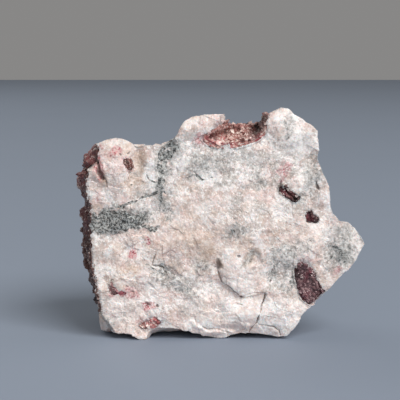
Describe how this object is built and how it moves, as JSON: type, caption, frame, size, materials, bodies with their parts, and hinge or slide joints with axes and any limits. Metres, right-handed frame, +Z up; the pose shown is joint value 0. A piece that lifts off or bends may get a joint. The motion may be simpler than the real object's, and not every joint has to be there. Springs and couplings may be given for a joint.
{
  "type": "mineral specimen",
  "caption": "Free-standing block of pale pink granular calcite with rose-red cobaltoan calcite crystals lining its pockets and left side, for display on a shelf",
  "frame": {"origin": "bottom centre of the bounding box, on the surface that the block stands on", "axes": "X to the right across the broken front face, Y from the front face to the back, Z up"},
  "size_m": [0.103, 0.049, 0.0816],
  "materials": {
    "pale_calcite": "rough, granular",
    "plum_druse": "sparkling crystals",
    "rose_druse": "sparkling crystals",
    "dark_druse": "sparkling crystals"
  },
  "bodies": {
    "root": {"matrix": "pale_calcite", "left_face_crust": "plum_druse", "top_pocket_crystals": "rose_druse", "lower_right_pocket_crystals": "plum_druse", "slot_vug_crystals": "dark_druse", "right_vug_crystals": "dark_druse", "upper_left_vug_crystals": "rose_druse", "lower_left_vug_crystals": "rose_druse", "base_notch_crystals": "rose_druse"}
  },
  "joints": []
}
